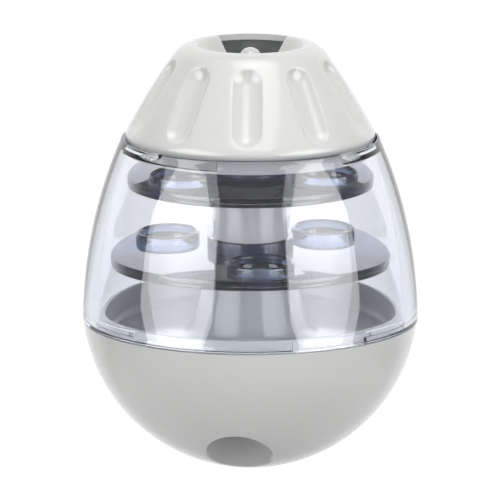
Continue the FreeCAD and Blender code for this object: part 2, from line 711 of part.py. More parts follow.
def upper_disc():
    """Smaller disc that rests on the column's shoulder."""
    bore = "(upper_column_radius + turn_gap)"
    return disc(
        "upper_disc",
        "upper_disc_radius",
        bore,
        "upper_hub_height",
        "upper_disc_top",
        "upper_hole_reach",
        "upper_hole_turn",
    )


def clear_shell():
    """Clear barrel whose wall thins upwards, with slots for both twist locks."""
    body = new_body("clear_shell")
    lathe(
        body,
        "barrel",
        [
            ("shell_inner_foot", "shell_foot"),
            ("shell_foot_radius", "shell_foot"),
            ("shell_top_radius", "shell_top_height"),
            ("neck_radius", "shell_top_height"),
            ("neck_radius", "neck_low"),
            ("shell_inner_top", "neck_low - neck_ledge"),
        ],
        {1: ("shell_bulge", 1), 5: ("shell_inner_bulge", -1)},
    )
    lug_slots(
        body,
        "foot_slot",
        "tray_rim_inner",
        "base_slot_radius",
        "base_lug_low",
        "-",
        "shell_foot",
    )
    lug_slots(
        body,
        "neck_slot",
        "skirt_inner",
        "cap_slot_radius",
        "cap_lug_height",
        "+",
        "shell_top_height",
    )
    return body


def dimple_outline(sketch, radius):
    """Half of a round-ended rod that lies along the cap's side, and its long axis."""
    reach_x = "(%s) * along_x" % radius
    reach_z = "(%s) * along_z" % radius
    closed_outline(
        sketch,
        [
            ("dimple_foot_x - %s" % reach_x, "dimple_foot_z - %s" % reach_z),
            ("dimple_head_x + %s" % reach_x, "dimple_head_z + %s" % reach_z),
            ("dimple_head_x - %s" % reach_z, "dimple_head_z + %s" % reach_x),
            ("dimple_foot_x - %s" % reach_z, "dimple_foot_z + %s" % reach_x),
        ],
        {1: (radius, 1), 3: (radius, 1)},
    )


def dimples(body, name, radius):
    """Cut the round-ended rods out of a body, all the way round."""
    sketch = new_sketch(body, name + "_outline", "XZ_Plane", turn="dimple_turn")
    dimple_outline(sketch, radius)
    rod = body.newObject("PartDesign::Groove", name)
    rod.Profile = sketch
    rod.ReferenceAxis = (sketch, ["Edge1"])
    rod.Angle = 360
    return ring_of(body, name + "s", [rod], "dimple_count")


def on_dimple_rim(edge):
    """A test for the edges where a dimple meets the cap's side."""
    box = edge.BoundBox
    low = value("dimple_low - dimple_round")
    high = value("dimple_high + dimple_round")
    if box.ZMin < low or box.ZMax > high:
        return False
    middle = edge.valueAt((edge.FirstParameter + edge.LastParameter) / 2)
    reach = math.hypot(middle.x, middle.y)
    side = value("band_radius") - (middle.z - value("band_top")) * value("side_run / side_rise")
    return reach > side - value("dimple_depth - dimple_round")


def cap():
    """Cap with dimples to grip, a funnel sunk in its top and two filling windows."""
    core = new_body("cap_core")
    lathe(
        core,
        "cap_hollow",
        [
            ("0", "skirt_height - cap_wall"),
            ("skirt_inner", "skirt_height - cap_wall"),
            ("skirt_inner", "skirt_join"),
            ("void_side_high", "void_height"),
            ("funnel_void_radius", "void_height"),
            ("hub_radius", "funnel_low - funnel_drop"),
            ("0", "funnel_low - funnel_drop"),
        ],
    )
    dimples(core, "inner_dimple", "dimple_tool + cap_wall")

    body = new_body("cap")
    lathe(
        body,
        "dome",
        [
            ("hub_bore", "skirt_height"),
            ("skirt_radius", "skirt_height"),
            ("skirt_radius", "cap_edge_height"),
            ("cap_edge_radius", "cap_edge_height"),
            ("band_radius", "band_top"),
            ("shoulder_radius", "shoulder_height"),
            ("crest_radius", "crest_height"),
            ("funnel_radius", "funnel_height"),
            ("hub_radius", "funnel_low"),
            ("hub_bore", "funnel_low"),
        ],
        {4: ("cap_bulge", 1), 5: ("shoulder_round", 1), 6: ("crest_round", 1)},
    )
    dimples(body, "dimple", "dimple_tool")
    round_edges(body, "dimple_edges", "dimple_round", on_dimple_rim)
    cut_by(body, "hollow", core)
    window = new_sketch(body, "window_outline", "XY_Plane", lift="skirt_height")
    sector(window, "window_inner", "window_reach", "window_turn", "window_half_angle")
    opening = extrude(body, "Pocket", "window", window, "crest_height - skirt_height")
    ring_of(body, "windows", [opening], "window_count")
    lugs(body, "skirt_lug", "skirt_inner + cap_wall / 2", "cap_lug_radius", "cap_lug_height")
    return body


PIECES = [
    base_bowl(),
    ballast_weight(),
    ballast_screws(),
    floor_tray(),
    column(),
    lower_disc(),
    upper_disc(),
    clear_shell(),
    cap(),
]


def write_pieces():
    """Check every object and write one file for each piece."""
    DOCUMENT.recompute()
    for item in DOCUMENT.Objects:
        wrong = [state for state in item.State if state in ("Invalid", "Error")]
        if wrong:
            raise RuntimeError("%s is %s" % (item.Label, wrong[0]))
    os.makedirs("parts", exist_ok=True)
    for piece in PIECES:
        shape = piece.Shape
        if shape.isNull() or not shape.isValid():
            raise RuntimeError("%s has no sound shape" % piece.Label)
        shape.exportStep("parts/%s.step" % piece.Label)
        print("%-16s solids %d volume %.0f mm3" % (piece.Label, len(shape.Solids), shape.Volume))


write_pieces()
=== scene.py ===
# %% [markdown]
# A wobble treat dispenser, finished round its construction model.
# The egg stands on a weighted grey ball. A thick clear barrel shows two smoke
# discs and the grey post that carries them, and a dimpled grey cap closes it.
# The construction model gives the places and sizes; this lesson gives the finish.

# %% Load the construction model
import bmesh
import bpy
import math
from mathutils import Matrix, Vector


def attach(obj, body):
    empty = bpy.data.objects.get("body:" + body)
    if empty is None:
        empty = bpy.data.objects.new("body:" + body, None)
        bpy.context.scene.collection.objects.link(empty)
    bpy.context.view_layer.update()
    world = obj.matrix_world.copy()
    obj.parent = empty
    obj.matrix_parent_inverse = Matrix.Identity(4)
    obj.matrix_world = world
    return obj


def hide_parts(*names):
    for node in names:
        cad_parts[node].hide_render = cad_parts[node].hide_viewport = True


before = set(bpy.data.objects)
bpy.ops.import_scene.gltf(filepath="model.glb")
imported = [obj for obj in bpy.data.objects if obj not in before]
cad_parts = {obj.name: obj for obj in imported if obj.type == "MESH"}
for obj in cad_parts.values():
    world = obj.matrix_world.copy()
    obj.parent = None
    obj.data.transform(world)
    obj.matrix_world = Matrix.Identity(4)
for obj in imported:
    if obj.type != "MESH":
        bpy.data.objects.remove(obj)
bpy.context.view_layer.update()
MM = 0.001
print("nodes:", sorted(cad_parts))

# %% [markdown]
# The photograph was taken from a little above with a long lens, so the picture
# has almost no perspective. The camera looks at a point half way up the egg, and
# its lens was worked out from the widths of the seam and of the cap's edge.

# %% Camera
def new_object(name, data):
    """An object in the scene for some mesh, lamp or camera data."""
    made = bpy.data.objects.new(name, data)
    bpy.context.scene.collection.objects.link(made)
    return made


LOOK_AT = Vector((-0.13, 0, 84.16)) * MM
CAMERA_REACH = 2262 * MM
CAMERA_LIFT = math.radians(12.09)
LENS = 420.4
camera_data = bpy.data.cameras.new("camera")
camera_data.lens = LENS
camera = new_object("camera", camera_data)
away = Vector((0, -math.cos(CAMERA_LIFT), math.sin(CAMERA_LIFT)))
camera.location = LOOK_AT + away * CAMERA_REACH
camera.rotation_euler = (-away).to_track_quat("-Z", "Y").to_euler()
bpy.context.scene.camera = camera
bpy.context.scene.view_settings.view_transform = "Standard"
print("camera:", LENS, "mm lens,", CAMERA_REACH, "m away")

# %% [markdown]
# Every material starts from two helpers. One turns a colour as a designer writes
# it, such as #c9c9c4, into the linear light that the renderer mixes. The other
# adds a node, sets its properties and fills or links its inputs in one call, so a
# material reads as a short list of what is done to the surface.

# %% Helpers for materials
def srgb(text):
    """A colour written as #rrggbb, as linear red, green, blue and a full alpha."""
    parts = [int(text[i:i + 2], 16) / 255 for i in (1, 3, 5)]
    return [c / 12.92 if c <= 0.04045 else ((c + 0.055) / 1.055) ** 2.4 for c in parts] + [1]


def add(tree, kind, inputs=None, **settings):
    """A new node of a tree, with its settings, values and incoming links."""
    node = tree.nodes.new(kind)
    for name, choice in settings.items():
        setattr(node, name, choice)
    for name, source in (inputs or {}).items():
        if isinstance(source, bpy.types.NodeSocket):
            tree.links.new(source, node.inputs[name])
        else:
            node.inputs[name].default_value = source
    return node


def new_material(name):
    """An empty node material and its tree."""
    material = bpy.data.materials.new(name)
    material.use_nodes = True
    material.node_tree.nodes.clear()
    return material, material.node_tree


def close_material(tree, surface, volume=None):
    """Join a shader, and a volume where there is one, to the material's output."""
    output = add(tree, "ShaderNodeOutputMaterial", {"Surface": surface})
    if volume:
        tree.links.new(volume, output.inputs["Volume"])


print("helpers: srgb, add, new_material, close_material")

# %% [markdown]
# The base, cap, tray and post are injection moulded ABS in one pale grey. A
# polished mould gives ABS a soft gloss with a faint waviness, which breaks the
# edges of a reflection a little. One even colour and gloss would be simpler, but
# no moulding is quite even. So broad soft noise moves the tone and the roughness
# a little, and noise of a few millimetres makes the bump.

# %% Moulded grey ABS
WAVE_SIZE = 2.2 * MM
WAVE_DEPTH = 0.05 * MM
CLOUD_SIZE = 24 * MM


def moulded_abs(name, colour, roughness):
    """Glossy moulded ABS with a faint waviness."""
    material, tree = new_material(name)
    place = add(tree, "ShaderNodeTexCoord").outputs["Object"]
    wave = add(tree, "ShaderNodeTexNoise", {"Vector": place, "Scale": 1 / WAVE_SIZE, "Detail": 1.0})
    cloud = add(tree, "ShaderNodeTexNoise", {"Vector": place, "Scale": 1 / CLOUD_SIZE, "Detail": 2.0})
    gloss = add(tree, "ShaderNodeMapRange", {
        "Value": cloud.outputs["Fac"], "From Min": 0.3, "From Max": 0.7,
        "To Min": roughness * 0.85, "To Max": roughness * 1.15,
    })
    tone = add(tree, "ShaderNodeHueSaturation", {
        "Color": srgb(colour),
        "Value": add(tree, "ShaderNodeMapRange", {
            "Value": cloud.outputs["Fac"], "To Min": 0.98, "To Max": 1.02,
        }).outputs["Result"],
    })
    bump = add(tree, "ShaderNodeBump", {
        "Height": wave.outputs["Fac"], "Strength": 0.05, "Distance": WAVE_DEPTH,
    })
    shader = add(tree, "ShaderNodeBsdfPrincipled", {
        "Base Color": tone.outputs["Color"], "Roughness": gloss.outputs["Result"],
        "Normal": bump.outputs["Normal"], "IOR": 1.5,
    })
    close_material(tree, shader.outputs["BSDF"])
    return material


GREY_ABS = moulded_abs("grey_abs", "#cecfcd", 0.12)
print("made", GREY_ABS.name)

# %% [markdown]
# The barrel is clear polystyrene. It bends light a little more than glass, and in
# thick places it takes out some red, which makes long ways through the wall blue.
# The discs are the same plastic with a smoke dye: a wall of two millimetres lets
# about two fifths of the light through, and along the plate nothing gets through
# at all. A tint on the surface would be the same at every thickness, so the dye
# is a volume that takes light away on its way through.

# %% Clear and smoke plastic
PLASTIC_IOR = 1.57


def clear_plastic(name, dye, density):
    """Polished clear plastic that takes colour from its thickness."""
    material, tree = new_material(name)
    shader = add(tree, "ShaderNodeBsdfPrincipled", {
        "Base Color": (1, 1, 1, 1), "Roughness": 0.0, "IOR": PLASTIC_IOR, "Transmission Weight": 1.0,
    })
    inside = add(tree, "ShaderNodeVolumeAbsorption", {"Color": dye, "Density": density})
    close_material(tree, shader.outputs["BSDF"], inside.outputs["Volume"])
    return material


CLEAR_STYRENE = clear_plastic("clear_styrene", (0.30, 0.42, 0.74, 1), 24.0)
SMOKE_STYRENE = clear_plastic("smoke_styrene", (0.05, 0.21, 0.47, 1), 600.0)
print("made", CLEAR_STYRENE.name, "and", SMOKE_STYRENE.name)

# %% [markdown]
# The weight is cast iron with the grain of its sand mould, and its three screws
# are zinc plated steel. The base hides both, so they have only a plain finish.

# %% Hidden metals
def plain_metal(name, colour, roughness, grain):
    """Cast or plated metal with a grain of a given size in millimetres."""
    material, tree = new_material(name)
    place = add(tree, "ShaderNodeTexCoord").outputs["Object"]
    noise = add(tree, "ShaderNodeTexNoise", {
        "Vector": place, "Scale": 1 / (grain * MM), "Detail": 3.0,
    })
    bump = add(tree, "ShaderNodeBump", {
        "Height": noise.outputs["Fac"], "Strength": 0.4, "Distance": grain * 0.2 * MM,
    })
    shader = add(tree, "ShaderNodeBsdfPrincipled", {
        "Base Color": srgb(colour), "Metallic": 1.0, "Roughness": roughness,
        "Normal": bump.outputs["Normal"],
    })
    close_material(tree, shader.outputs["BSDF"])
    return material


CAST_IRON = plain_metal("cast_iron", "#6b6a68", 0.55, 0.9)
PLATED_STEEL = plain_metal("plated_steel", "#c4c6c8", 0.25, 0.4)
print("made", CAST_IRON.name, "and", PLATED_STEEL.name)

# %% [markdown]
# The base, the cap, the weight and its screws could be modelled again, but the
# construction model already has their shapes. So they are copied, and their loose
# triangles are merged. Every finished piece is shaded smooth, with sharp edges
# kept where two faces meet at more than a set angle, and takes its node's place.

# %% Finished copies of construction pieces
MERGE = 0.001 * MM
COPY_SHARP = 35
TURNED_SHARP = 30


def finish_piece(piece, node, body, material, sharp=TURNED_SHARP):
    """Smooth shading, material and place in the model for a piece that stands for a node."""
    mesh = piece.data
    mesh.shade_smooth()
    mesh.set_sharp_from_angle(angle=math.radians(sharp))
    mesh.materials.clear()
    mesh.materials.append(material)
    for face in mesh.polygons:
        face.material_index = 0
    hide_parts(node)
    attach(piece, body)
    print(node, len(mesh.polygons), "faces")


def finished_copy(name, body, material):
    """A smooth shaded copy of a construction node, which it replaces."""
    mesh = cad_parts[name].data.copy()
    merged = bmesh.new()
    merged.from_mesh(mesh)
    bmesh.ops.remove_doubles(merged, verts=merged.verts, dist=MERGE)
    merged.to_mesh(mesh)
    merged.free()
    finish_piece(new_object(name + "_finished", mesh), name, body, material, COPY_SHARP)


finished_copy("base_bowl", "base", GREY_ABS)
finished_copy("ballast_weight", "base", CAST_IRON)
finished_copy("ballast_screws", "base", PLATED_STEEL)
finished_copy("cap", "cap", GREY_ABS)

# %% [markdown]
# The barrel, the discs, the post and the tray are bodies of revolution. Light
# that passes through clear plastic shows every flat of a coarse mesh, so they are
# turned again here in steps too fine to see. An outline is a list of corners in
# millimetres: radius first, height second. A bulged side is an arc of a given
# radius, and a moulded corner is rounded a little, because it is the small round
# that catches the light.

# %% Outlines of turned pieces
ROUND_STEPS = 4


def bulge(start, stop, radius, hand, steps):
    """The inner points of an arc between two corners; hand +1 has its middle on the left."""
    run = (stop[0] - start[0], stop[1] - start[1])
    length = math.hypot(*run)
    left = (-run[1] / length, run[0] / length)
    reach = math.sqrt(max(radius ** 2 - length ** 2 / 4, 0)) * hand
    middle = [(a + b) / 2 + n * reach for a, b, n in zip(start, stop, left)]
    first = math.atan2(start[1] - middle[1], start[0] - middle[0])
    sweep = 2 * math.asin(min(length / 2 / radius, 1)) * hand
    turns = [first + sweep * k / steps for k in range(1, steps)]
    return [(middle[0] + radius * math.cos(t), middle[1] + radius * math.sin(t)) for t in turns]


def softened(points, corners, size):
    """The outline with some of its corners rounded, each over a given length."""
    made = []
    for index, spot in enumerate(points):
        if index not in corners:
            made.append(spot)
            continue
        before = Vector(points[index - 1])
        after = Vector(points[(index + 1) % len(points)])
        spot = Vector(spot)
        enter = spot + (before - spot).normalized() * size
        leave = spot + (after - spot).normalized() * size
        for step in range(ROUND_STEPS + 1):
            t = step / ROUND_STEPS
            made.append(tuple((1 - t) ** 2 * enter + 2 * t * (1 - t) * spot + t ** 2 * leave))
    return made


def turned(name, outline, segments=256, centre=(0, 0)):
    """A closed mesh turned from an outline of (radius, height), about an upright axis."""
    mesh = bpy.data.meshes.new(name)
    points = []
    for k in range(segments):
        turn = 2 * math.pi * k / segments
        points += [
            ((centre[0] + r * math.cos(turn)) * MM, (centre[1] + r * math.sin(turn)) * MM, z * MM)
            for r, z in outline
        ]
    count = len(outline)
    faces = []
    for k in range(segments):
        here = k * count
        there = (k + 1) % segments * count
        for i in range(count):
            j = (i + 1) % count
            faces.append((here + i, there + i, there + j, here + j))
    mesh.from_pydata(points, [], faces)
    shape = bmesh.new()
    shape.from_mesh(mesh)
    bmesh.ops.remove_doubles(shape, verts=shape.verts, dist=MERGE)
    bmesh.ops.dissolve_degenerate(shape, edges=shape.edges, dist=MERGE)
    bmesh.ops.recalc_face_normals(shape, faces=shape.faces)
    shape.to_mesh(mesh)
    shape.free()
    return new_object(name, mesh)


print("outlines: bulge, softened, turned")

# %% [markdown]
# Lugs, slots, holes and collars each repeat round the egg's axis. A small
# Geometry Nodes tree does the repeating: it sets one point for each copy, turns
# every copy by its share of the circle, and makes real geometry of them at the
# end. A second helper adds such a ring to a piece or cuts it out.

# %% Geometry Nodes that repeat a shape round the axis
def ring_tree():
    """A tree with inputs for the count, the first turn and the material."""
    tree = bpy.data.node_groups.new("ring_of_copies", "GeometryNodeTree")
    face = tree.interface
    face.new_socket("Geometry", in_out="INPUT", socket_type="NodeSocketGeometry")
    face.new_socket("Count", in_out="INPUT", socket_type="NodeSocketInt")
    face.new_socket("First Turn", in_out="INPUT", socket_type="NodeSocketFloat")
    face.new_socket("Material", in_out="INPUT", socket_type="NodeSocketMaterial")
    face.new_socket("Geometry", in_out="OUTPUT", socket_type="NodeSocketGeometry")
    given = add(tree, "NodeGroupInput").outputs
    points = add(tree, "GeometryNodePoints", {"Count": given["Count"]})
    number = add(tree, "GeometryNodeInputIndex").outputs["Index"]
    share = add(tree, "ShaderNodeMath", {0: number, 1: given["Count"]}, operation="DIVIDE")
    turn = add(tree, "ShaderNodeMath", {0: share.outputs[0], 1: 2 * math.pi, 2: given["First Turn"]},
               operation="MULTIPLY_ADD")
    about = add(tree, "ShaderNodeCombineXYZ", {"Z": turn.outputs[0]})
    copies = add(tree, "GeometryNodeInstanceOnPoints", {
        "Points": points.outputs[0], "Instance": given["Geometry"], "Rotation": about.outputs[0],
    })
    real = add(tree, "GeometryNodeRealizeInstances", {"Geometry": copies.outputs[0]})
    painted = add(tree, "GeometryNodeSetMaterial", {
        "Geometry": real.outputs[0], "Material": given["Material"],
    })
    add(tree, "NodeGroupOutput", {"Geometry": painted.outputs[0]})
    return tree


RING = ring_tree()


def settle(piece):
    """Turn a piece's modifiers into plain mesh."""
    graph = bpy.context.evaluated_depsgraph_get()
    mesh = bpy.data.meshes.new_from_object(piece.evaluated_get(graph))
    piece.modifiers.clear()
    piece.data = mesh


def ring_of(piece, count, first_turn, material):
    """Repeat a piece round the egg's axis and leave one plain mesh."""
    modifier = piece.modifiers.new("ring", "NODES")
    modifier.node_group = RING
    values = {"Count": count, "First Turn": math.radians(first_turn), "Material": material}
    for socket in RING.interface.items_tree:
        if socket.in_out == "INPUT" and socket.name in values:
            modifier[socket.identifier] = values[socket.name]
    settle(piece)
    return piece


def combine(piece, tool, operation):
    """Add a tool's shape to a piece, or cut it out, and remove the tool."""
    modifier = piece.modifiers.new("combine", "BOOLEAN")
    modifier.solver = "EXACT"
    modifier.operation = operation
    modifier.object = tool
    settle(piece)
    bpy.data.objects.remove(tool)


print("ring of copies:", len(RING.nodes), "nodes")

# %% [markdown]
# The clear barrel has a thick foot and thins upwards, so it works as a lens: the
# far edges of the discs seem to bend upwards in it. It would be moulded in one
# piece. It is turned from its outline here, and the slots of the twist locks are
# cut in the next step. The inner wall runs on smoothly to the neck, where the
# construction model has a small step: with that step, refraction in the neck would
# give a glitter that the photograph lacks.

# %% Clear barrel
SEAM = 57.405
SHELL_FOOT = SEAM + 0.3
SHELL_TOP = SHELL_FOOT + 71.0
SHELL_FOOT_R = 65.15
SHELL_TOP_R = 49.9
SHELL_INNER_R = 59.15
NECK_R = 47.6
NECK_LOW = SHELL_TOP - 6.6
NECK_JOIN = SHELL_TOP - 2.7
SHELL_ROUND = 0.45
OUTER_BULGE_R = 181.0
INNER_BULGE_R = 200.0
BULGE_STEPS = 48
SHELL_SEGMENTS = 360

corners = [
    (SHELL_INNER_R, SHELL_FOOT), (SHELL_FOOT_R, SHELL_FOOT), (SHELL_TOP_R, SHELL_TOP),
    (NECK_R, SHELL_TOP), (NECK_R, NECK_JOIN),
]
rounded = softened(corners, (0, 1, 2, 3), SHELL_ROUND)
last_out = 2 * (ROUND_STEPS + 1)
outline = rounded[:last_out]
outline += bulge(rounded[last_out - 1], rounded[last_out], OUTER_BULGE_R, 1, BULGE_STEPS)
outline += rounded[last_out:]
outline += bulge(rounded[-1], rounded[0], INNER_BULGE_R, -1, BULGE_STEPS)
shell = turned("barrel", outline, SHELL_SEGMENTS)
print("barrel:", SHELL_FOOT, "to", SHELL_TOP, "mm high up")

# %% [markdown]
# Twist locks hold the barrel to the base and the cap to the barrel. Each has three
# lugs, one third of a turn apart, that slide into slots in the barrel's inner
# face. A slot is a track as long as the lug and its twist, with a mouth at one end
# where the lug goes in. The slots could be left out of the finish, but the
# photograph has short level lines at the neck and at the seam, where they lie.

# %% Slots of the twist locks
LUG_COUNT = 3
LUG_TURN = -30.0
LUG_ANGLE = 24.0
TWIST = 30.0
LUG_SLACK = 3.0
LUG_HEIGHT = 1.4
RUN_GAP = 0.3
CUT_PAST = 1
SECTOR_STEPS = 24


def sector_block(name, inner, outer, low, high, middle_turn, angle):
    """A block that fills part of a ring."""
    shares = [k / SECTOR_STEPS - 0.5 for k in range(SECTOR_STEPS + 1)]
    turns = [math.radians(middle_turn + angle * share) for share in shares]
    edge = [(inner * math.cos(t), inner * math.sin(t)) for t in turns]
    edge += [(outer * math.cos(t), outer * math.sin(t)) for t in reversed(turns)]
    shape = bmesh.new()
    floor_points = [shape.verts.new((x * MM, y * MM, low * MM)) for x, y in edge]
    base = shape.faces.new(floor_points)
    grown = bmesh.ops.extrude_face_region(shape, geom=[base])["geom"]
    moved = [item for item in grown if isinstance(item, bmesh.types.BMVert)]
    bmesh.ops.translate(shape, verts=moved, vec=(0, 0, (high - low) * MM))
    bmesh.ops.recalc_face_normals(shape, faces=shape.faces)
    mesh = bpy.data.meshes.new(name)
    shape.to_mesh(mesh)
    shape.free()
    return new_object(name, mesh)


def cut_slots(piece, inner, outer, low, mouth, hand):
    """Cut the track of each lug and the mouth where the lug goes in."""
    open_angle = LUG_ANGLE + 2 * LUG_SLACK
    track = sector_block("track", inner, outer, low - RUN_GAP, low + LUG_HEIGHT + RUN_GAP,
                         LUG_TURN + hand * TWIST / 2, TWIST + open_angle)
    combine(piece, ring_of(track, LUG_COUNT, 0, CLEAR_STYRENE), "DIFFERENCE")
    bottom, top = sorted((mouth, low + LUG_HEIGHT / 2))
    gate = sector_block("gate", inner, outer, bottom, top, LUG_TURN + hand * TWIST, open_angle)
    combine(piece, ring_of(gate, LUG_COUNT, 0, CLEAR_STYRENE), "DIFFERENCE")


CAP_LUG_RISE = 2.5
CAP_LUG_LOW = NECK_LOW + CAP_LUG_RISE
CAP_SLOT_FROM = 44.0
CAP_SLOT_R = 48.9
cut_slots(shell, CAP_SLOT_FROM, CAP_SLOT_R, CAP_LUG_LOW, SHELL_TOP + CUT_PAST, 1)
TRAY_DROP = 6.0
TRAY_FLOOR = SEAM - TRAY_DROP
BEND = 3.0
RIM_UPRIGHT = 7.4
RIM_TOP = TRAY_FLOOR + BEND + RIM_UPRIGHT
LUG_BELOW_RIM = 0.6
BASE_LUG_LOW = RIM_TOP - LUG_BELOW_RIM - LUG_HEIGHT
BASE_SLOT_FROM = 55.0
BASE_SLOT_R = 60.4
cut_slots(shell, BASE_SLOT_FROM, BASE_SLOT_R, BASE_LUG_LOW, SHELL_FOOT - CUT_PAST, -1)
finish_piece(shell, "clear_shell", "shell", CLEAR_STYRENE)

# %% [markdown]
# Each smoke disc is a solid plate with a fine groove round its edge, a hub round
# the post, and three holes with raised collars. The collars are joined to the
# plate and the holes cut through both, so that each disc is one closed body: a
# wall left between them inside would show through the plastic.

# %% Smoke discs
PLATE = 3.9
GROOVE = 0.5
HUB_WALL = 2.1
HOLE_R = 10.8
HOLE_COUNT = 3
COLLAR_WALL = 2.0
COLLAR_RISE = 3.3
COLLAR_OVERLAP = 0.5
LIP_PAST = 0.1
EDGE_ROUND = 0.5
COLLAR_ROUND = 0.9
HOLE_SEGMENTS = 96


def smoke_disc(name, radius, bore, hub, top, reach, turn):
    """A disc with its hub, groove, collars and holes."""
    low = top - PLATE
    middle = top - PLATE / 2
    crown = top + hub
    outline = [
        (bore, low), (radius, low), (radius, middle - GROOVE), (radius - GROOVE, middle),
        (radius, middle + GROOVE), (radius, top), (bore + HUB_WALL, top), (bore + HUB_WALL, crown),
        (bore, crown),
    ]
    piece = turned(name + "_smoke", softened(outline, (1, 5, 7, 8), EDGE_ROUND))
    inner = HOLE_R - COLLAR_OVERLAP
    outer = HOLE_R + COLLAR_WALL
    lip = top + COLLAR_RISE
    collar_outline = [(inner, middle), (outer, middle), (outer, lip), (inner, lip)]
    rounded_collar = softened(collar_outline, (2,), COLLAR_ROUND)
    collar = turned("collar", rounded_collar, HOLE_SEGMENTS, (reach, 0))
    combine(piece, ring_of(collar, HOLE_COUNT, turn, SMOKE_STYRENE), "UNION")
    flared = HOLE_R + COLLAR_ROUND
    hole_outline = [
        (0, low - CUT_PAST), (HOLE_R, low - CUT_PAST), (HOLE_R, lip - COLLAR_ROUND),
        (flared, lip + LIP_PAST), (flared, lip + CUT_PAST), (0, lip + CUT_PAST),
    ]
    rounded_hole = softened(hole_outline, (2,), EDGE_ROUND)
    hole = turned("hole", rounded_hole, HOLE_SEGMENTS, (reach, 0))
    combine(piece, ring_of(hole, HOLE_COUNT, turn, SMOKE_STYRENE), "DIFFERENCE")
    finish_piece(piece, name, name, SMOKE_STYRENE)


LOWER_TOP = 83.705
UPPER_TOP = 114.005
smoke_disc("lower_disc", radius=54.43, bore=14.6, hub=4.9, top=LOWER_TOP, reach=36.03, turn=-84.0)
smoke_disc("upper_disc", radius=47.95, bore=12.9, hub=5.0, top=UPPER_TOP, reach=31.15, turn=-145.0)

# %% [markdown]
# The post plugs into the cone of the tray. A step carries the upper disc, and
# above a shoulder the post tapers to a rounded tip inside the cap's funnel. It is
# hollow up to just below the shoulder, as a moulding with a core pulled out from
# below would be. All of it fits in one outline, so it is turned in one go.

# %% Post
COLUMN_R = 14.3
UPPER_COLUMN_R = 12.6
PLUG_R = 12.1
PLUG_DEPTH = 12.0
COLUMN_BORE = 9.9
STEP_ROUND = 0.3
CONE_TOP = LOWER_TOP - PLATE - RUN_GAP
STEP = UPPER_TOP - PLATE - RUN_GAP
SHOULDER_RISE = 11.0
SHOULDER = UPPER_TOP + SHOULDER_RISE
ROOF_DEPTH = 2.2
ROOF = SHOULDER - ROOF_DEPTH
TAPER = 15.0
NECK_TOP = SHOULDER + TAPER
TIP_R = 4.5
TIP_TOP = 163.905
TIP_STEPS = 16
POST_SEGMENTS = 192
corners = [
    (COLUMN_BORE, CONE_TOP - PLUG_DEPTH), (PLUG_R, CONE_TOP - PLUG_DEPTH), (PLUG_R, CONE_TOP),
    (COLUMN_R, CONE_TOP), (COLUMN_R, STEP), (UPPER_COLUMN_R, STEP), (UPPER_COLUMN_R, SHOULDER),
    (TIP_R, NECK_TOP), (TIP_R, TIP_TOP - TIP_R),
]
tip = bulge(corners[-1], (0, TIP_TOP), TIP_R, 1, TIP_STEPS)
inside = [(0, TIP_TOP), (0, ROOF), (COLUMN_BORE, ROOF)]
column = turned("post", softened(corners, (4,), STEP_ROUND) + tip + inside, POST_SEGMENTS)
finish_piece(column, "column", "base", GREY_ABS)

# %% [markdown]
# The floor tray is one dished moulding. A cone in its middle holds the post and
# carries the lower disc, and flares out into the floor. A rounded bend leads from
# the floor to an upright rim, and a flange fills a step inside the base's rim.
# One outline can follow all of that, so the tray is turned in one go, and only
# its hole and its lugs are made apart.

# %% Outline of the floor tray
TRAY_WALL = 2.2
RIM_R = 58.7
RIM_IN = RIM_R - TRAY_WALL
RIM_ROUND = 0.7
BEND_R = RIM_IN - BEND
CONE_TOP_R = 16.6
CONE_LEAN = math.radians(12.6)
CONE_ROOF = 2.5
PLUG_GAP = 0.1
FLARE = 5.0
SEAT_DEPTH = 2.5
SEAT_Z = SEAM - SEAT_DEPTH
SEAT_R = 61.44
UNDER = TRAY_FLOOR - TRAY_WALL
foot_z = TRAY_FLOOR + FLARE * (1 - math.sin(CONE_LEAN))
foot_r = CONE_TOP_R + (CONE_TOP - foot_z) * math.tan(CONE_LEAN)
flare_r = foot_r + FLARE * math.cos(CONE_LEAN)
lean_wall = (TRAY_WALL * math.cos(CONE_LEAN), TRAY_WALL * math.sin(CONE_LEAN))
roof_z = CONE_TOP - CONE_ROOF
roof_r = CONE_TOP_R + CONE_ROOF * math.tan(CONE_LEAN) - TRAY_WALL / math.cos(CONE_LEAN)
bend_out = BEND + TRAY_WALL
bend_at_seat = (BEND_R + math.sqrt(bend_out ** 2 - (TRAY_FLOOR + BEND - SEAT_Z) ** 2), SEAT_Z)

under = [
    (PLUG_R + PLUG_GAP, CONE_TOP), (PLUG_R + PLUG_GAP, roof_z), (roof_r, roof_z),
    (foot_r - lean_wall[0], foot_z - lean_wall[1]),
]
under += bulge(under[-1], (flare_r, UNDER), FLARE + TRAY_WALL, 1, steps=12)
under += [(flare_r, UNDER), (BEND_R, UNDER)]
under += bulge(under[-1], bend_at_seat, bend_out, 1, steps=10)
flange = [bend_at_seat, (SEAT_R, SEAT_Z), (SEAT_R, SEAM), (RIM_R, SEAM)]
rim_corners = [(RIM_R, SEAM), (RIM_R, RIM_TOP), (RIM_IN, RIM_TOP), (RIM_IN, TRAY_FLOOR + BEND)]
rim = softened(rim_corners, (1, 2), RIM_ROUND)
over = bulge(rim[-1], (BEND_R, TRAY_FLOOR), BEND, -1, steps=24)
over += [(BEND_R, TRAY_FLOOR), (flare_r, TRAY_FLOOR)]
over += bulge(over[-1], (foot_r, foot_z), FLARE, -1, steps=16)
over += [(foot_r, foot_z), (CONE_TOP_R, CONE_TOP)]
outline = under + flange + rim[1:] + over
tray = turned("tray", outline)
print("tray outline:", len(outline), "points")

# %% [markdown]
# Treats leave the tray through a round hole in its floor, and three lugs on its
# rim hold the barrel. A mould would form them with the rest. Here a plug is cut
# out of the floor, and three blocks are joined to the rim.

